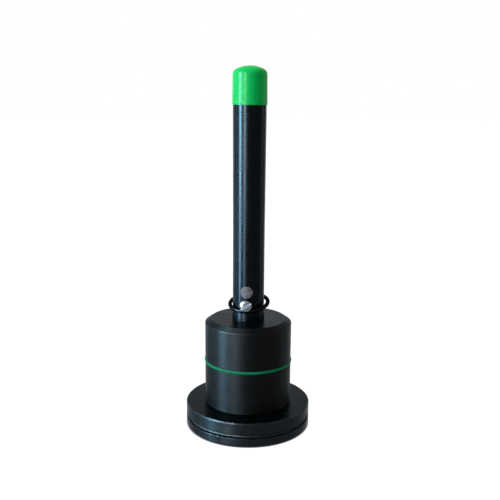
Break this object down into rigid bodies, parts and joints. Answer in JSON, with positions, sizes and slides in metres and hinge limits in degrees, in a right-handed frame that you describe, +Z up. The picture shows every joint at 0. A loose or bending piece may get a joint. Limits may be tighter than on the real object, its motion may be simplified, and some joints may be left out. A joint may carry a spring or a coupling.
{
  "type": "automatic watch oiler",
  "caption": "Slim push-button oiling pen with a green cap, standing nose down in a round black rest with a wide base.",
  "frame": {"origin": "centre of the underside of the rest, on the surface it stands on", "axes": "+Z up along the pen; the dosing screw and the locating pin face -Y; +X to the right of a viewer who looks at the dosing screw"},
  "size_m": [0.04, 0.04, 0.1142],
  "materials": {
    "black_anodised": "black anodised, turned, semi-gloss",
    "barrel_black": "black anodised, smooth, glossy",
    "pad_rubber": "matte",
    "black_rubber": "satin",
    "green_rubber": "satin",
    "green_plastic": "gloss, softly worn",
    "liner_plastic": "matte",
    "steel": "fine turned",
    "spring_steel": "drawn wire",
    "pin_steel": "flush ground, mottled grey",
    "brass": "turned",
    "clear_tube": "clear",
    "nickel": "bright nickel plate"
  },
  "bodies": {
    "stand": {"base_disc": "black_anodised", "foot_pad": "pad_rubber", "base_screws": "steel", "base_ring": "black_rubber", "stand_body": "black_anodised", "colour_ring": "green_rubber", "guide_bush": "liner_plastic"},
    "oiler": {"nose_piece": "black_anodised", "needle_tube": "steel", "needle_hub": "brass", "reservoir_tube": "clear_tube", "reservoir_plug": "brass", "stylus_seal": "black_rubber", "barrel": "barrel_black", "inner_block": "brass", "locating_pin": "pin_steel", "rubber_ring": "black_rubber", "rod_guide": "brass", "end_bush": "brass", "return_spring": "spring_steel"},
    "plunger": {"push_cap": "green_plastic", "button_stem": "steel", "stem_clip": "steel", "spring_collar": "brass", "push_rod": "steel", "dose_carrier": "brass", "stylus_chuck": "brass", "stylus": "steel"},
    "dosing_screw": {"dosing_screw": "nickel"}
  },
  "joints": [
    {"name": "oiler_lift", "type": "slide", "parent": "stand", "child": "oiler", "axis": [0, 0, 1], "range_m": [0, 0.03]},
    {"name": "button_press", "type": "slide", "parent": "oiler", "child": "plunger", "axis": [0, 0, -1], "range_m": [0, 0.0025], "stiffness_N_per_m": 600, "springref_m": -0.0015, "deforming": ["return_spring"]},
    {"name": "dosing_turn", "type": "hinge", "parent": "oiler", "child": "dosing_screw", "pos_m": [0, -0.00725, 0.041], "axis": [0, -1, 0], "continuous": true}
  ]
}
